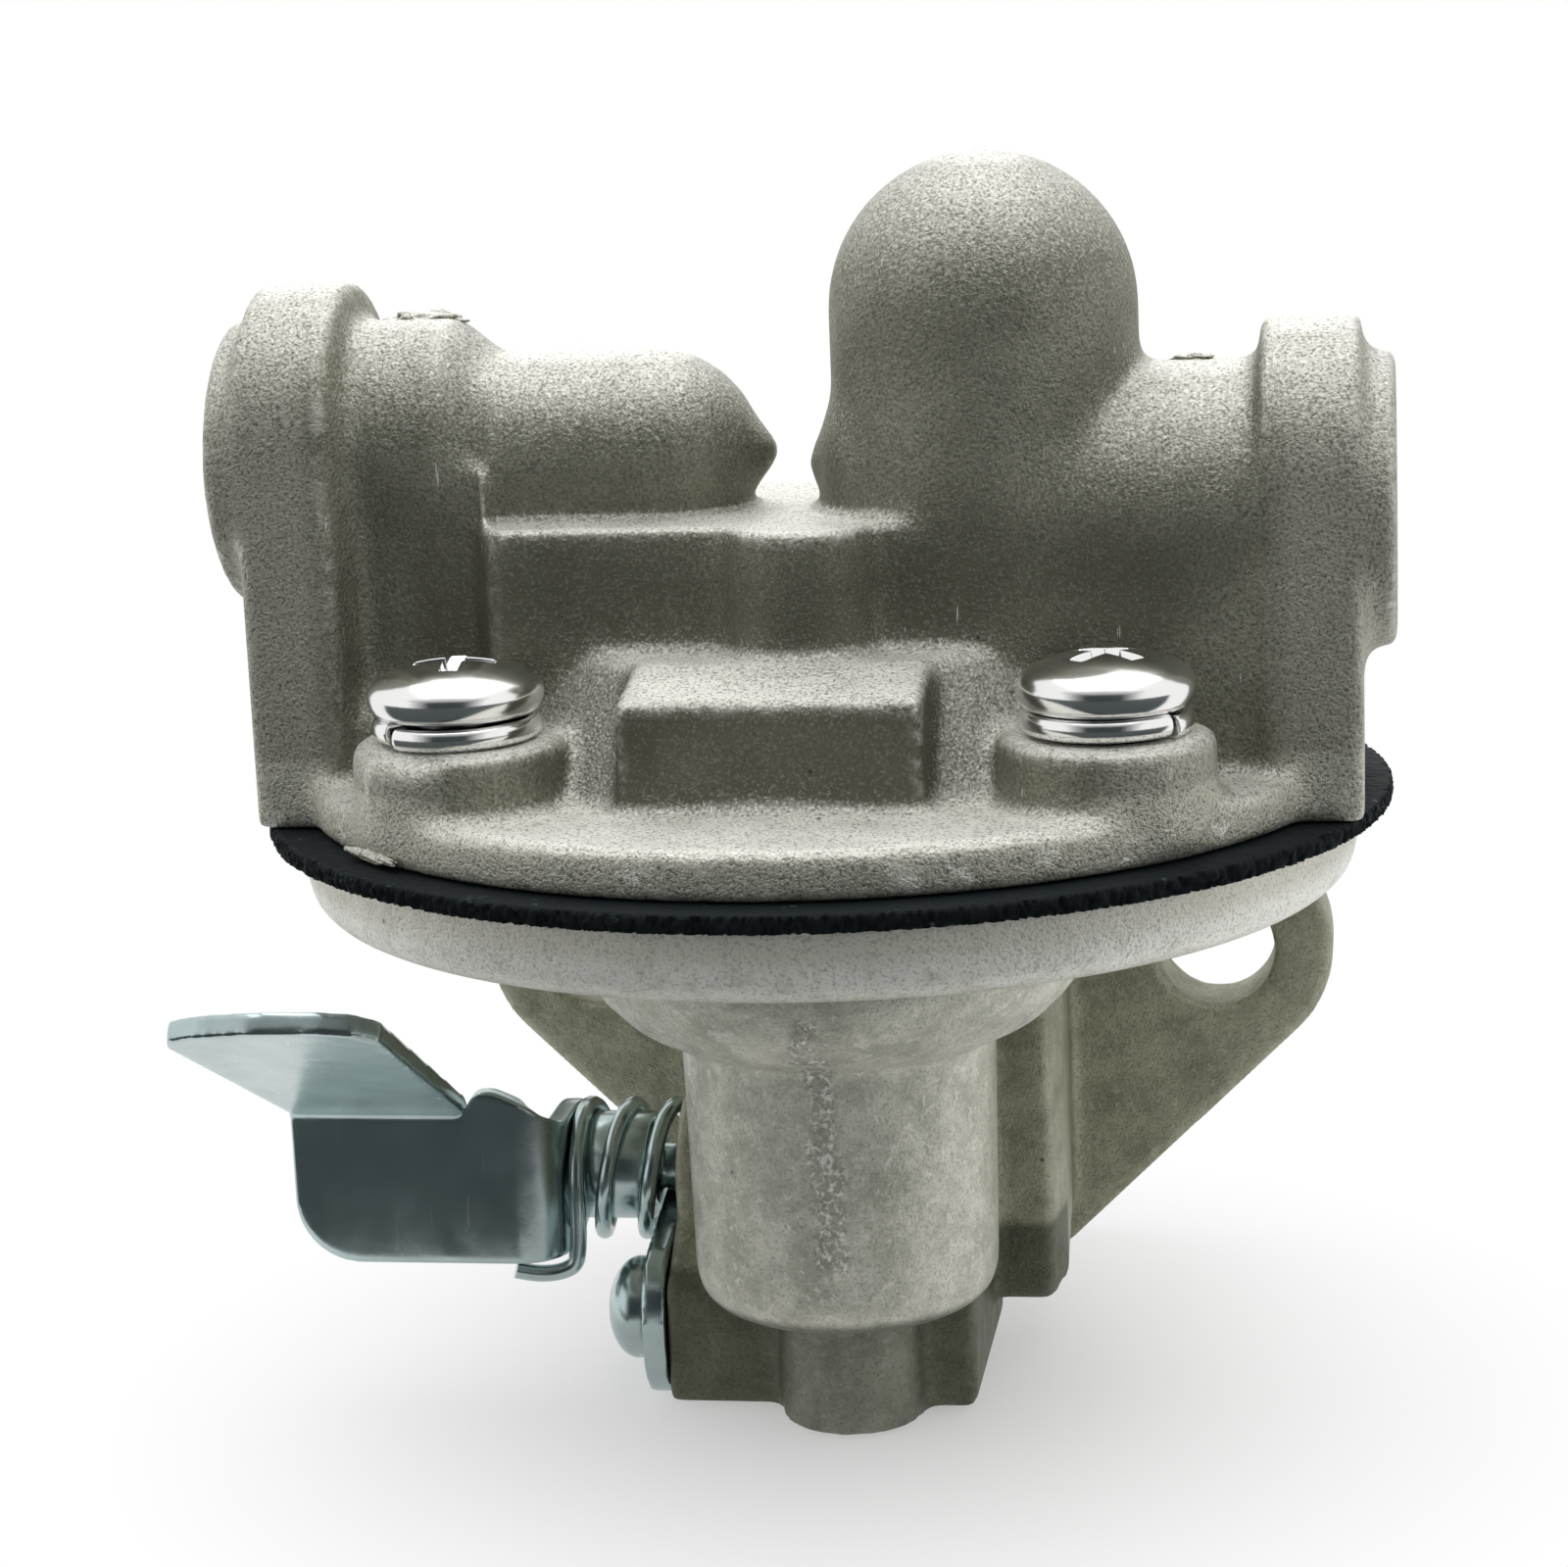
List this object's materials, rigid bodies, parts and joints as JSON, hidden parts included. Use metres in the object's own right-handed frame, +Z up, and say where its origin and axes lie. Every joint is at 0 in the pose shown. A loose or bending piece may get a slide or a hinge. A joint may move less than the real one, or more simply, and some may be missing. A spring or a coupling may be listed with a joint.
{
  "type": "fuel feed pump",
  "caption": "Mechanical diaphragm fuel pump with flanged cam rocker, two threaded ports, an air dome and a hand priming lever.",
  "frame": {"origin": "midway between the two flange holes, on the mating face", "axes": "+X towards the outlet port, +Y out of the mating face into the engine, +Z up towards the air dome"},
  "size_m": [0.0827, 0.106, 0.0881],
  "materials": {
    "cast_cover": "sand cast",
    "cast_body": "die cast",
    "bright_steel": "bright plated",
    "zinc_steel": "zinc plated",
    "plain_steel": "oiled",
    "spring_steel": "drawn wire",
    "black_rubber": "matt",
    "valve_brass": "turned"
  },
  "bodies": {
    "housing": {"lower_body": "cast_body", "upper_cover": "cast_cover", "cover_screw_1": "bright_steel", "cover_screw_2": "bright_steel", "cover_screw_3": "bright_steel", "cover_screw_4": "bright_steel", "spring_washer_1": "bright_steel", "spring_washer_2": "bright_steel", "spring_washer_3": "bright_steel", "spring_washer_4": "bright_steel", "diaphragm": "black_rubber", "diaphragm_spring": "spring_steel", "rod_oil_seal": "black_rubber", "seal_retainer": "plain_steel", "inlet_valve_seat": "valve_brass", "inlet_valve_spring": "spring_steel", "inlet_valve_cage": "valve_brass", "outlet_valve_seat": "valve_brass", "outlet_valve_spring": "spring_steel", "outlet_valve_cage": "valve_brass", "rocker_pin": "bright_steel", "rocker_return_spring": "spring_steel", "priming_spring": "zinc_steel", "retainer_plate": "zinc_steel", "retainer_screw": "zinc_steel"},
    "rocker": {"rocker_arm": "plain_steel"},
    "link": {"link_lever": "plain_steel"},
    "rod": {"pull_rod": "plain_steel", "diaphragm_upper_plate": "plain_steel", "diaphragm_lower_plate": "plain_steel"},
    "primer": {"priming_shaft": "zinc_steel", "priming_lever": "zinc_steel", "shaft_o_ring": "black_rubber"},
    "inlet_valve": {"inlet_valve_disc": "black_rubber"},
    "outlet_valve": {"outlet_valve_disc": "black_rubber"}
  },
  "joints": [
    {"name": "rocker_pivot", "type": "hinge", "parent": "housing", "child": "rocker", "pos_m": [0, -0.018, -0.0095], "axis": [1, 0, 0], "range_deg": [0, 7.5], "stiffness_Nm_per_rad": 1.5, "springref_deg": -6.88, "deforming": ["rocker_return_spring"]},
    {"name": "link_pivot", "type": "hinge", "parent": "housing", "child": "link", "pos_m": [0, -0.018, -0.0095], "axis": [1, 0, 0], "range_deg": [0, 7.5]},
    {"name": "rod_stroke", "type": "slide", "parent": "housing", "child": "rod", "axis": [0, 0, -1], "range_m": [0, 0.0032], "deforming": ["diaphragm", "diaphragm_spring"]},
    {"name": "priming_lever_pivot", "type": "hinge", "parent": "housing", "child": "primer", "pos_m": [0, -0.031, -0.01], "axis": [1, 0, 0], "range_deg": [0, 30], "stiffness_Nm_per_rad": 0.1, "springref_deg": -20.05, "deforming": ["priming_spring"]},
    {"name": "inlet_valve_lift", "type": "slide", "parent": "housing", "child": "inlet_valve", "axis": [0, 0, -1], "range_m": [0, 0.0008], "stiffness_N_per_m": 20, "springref_m": -0.001, "deforming": ["inlet_valve_spring"]},
    {"name": "outlet_valve_lift", "type": "slide", "parent": "housing", "child": "outlet_valve", "axis": [0, 0, 1], "range_m": [0, 0.0008], "stiffness_N_per_m": 20, "springref_m": -0.001, "deforming": ["outlet_valve_spring"]}
  ],
  "couplings": [
    {"joint": "link_pivot", "follows": "rocker_pivot", "ratio": 1},
    {"joint": "rod_stroke", "follows": "rocker_pivot", "m_per_rad": 0.024}
  ]
}
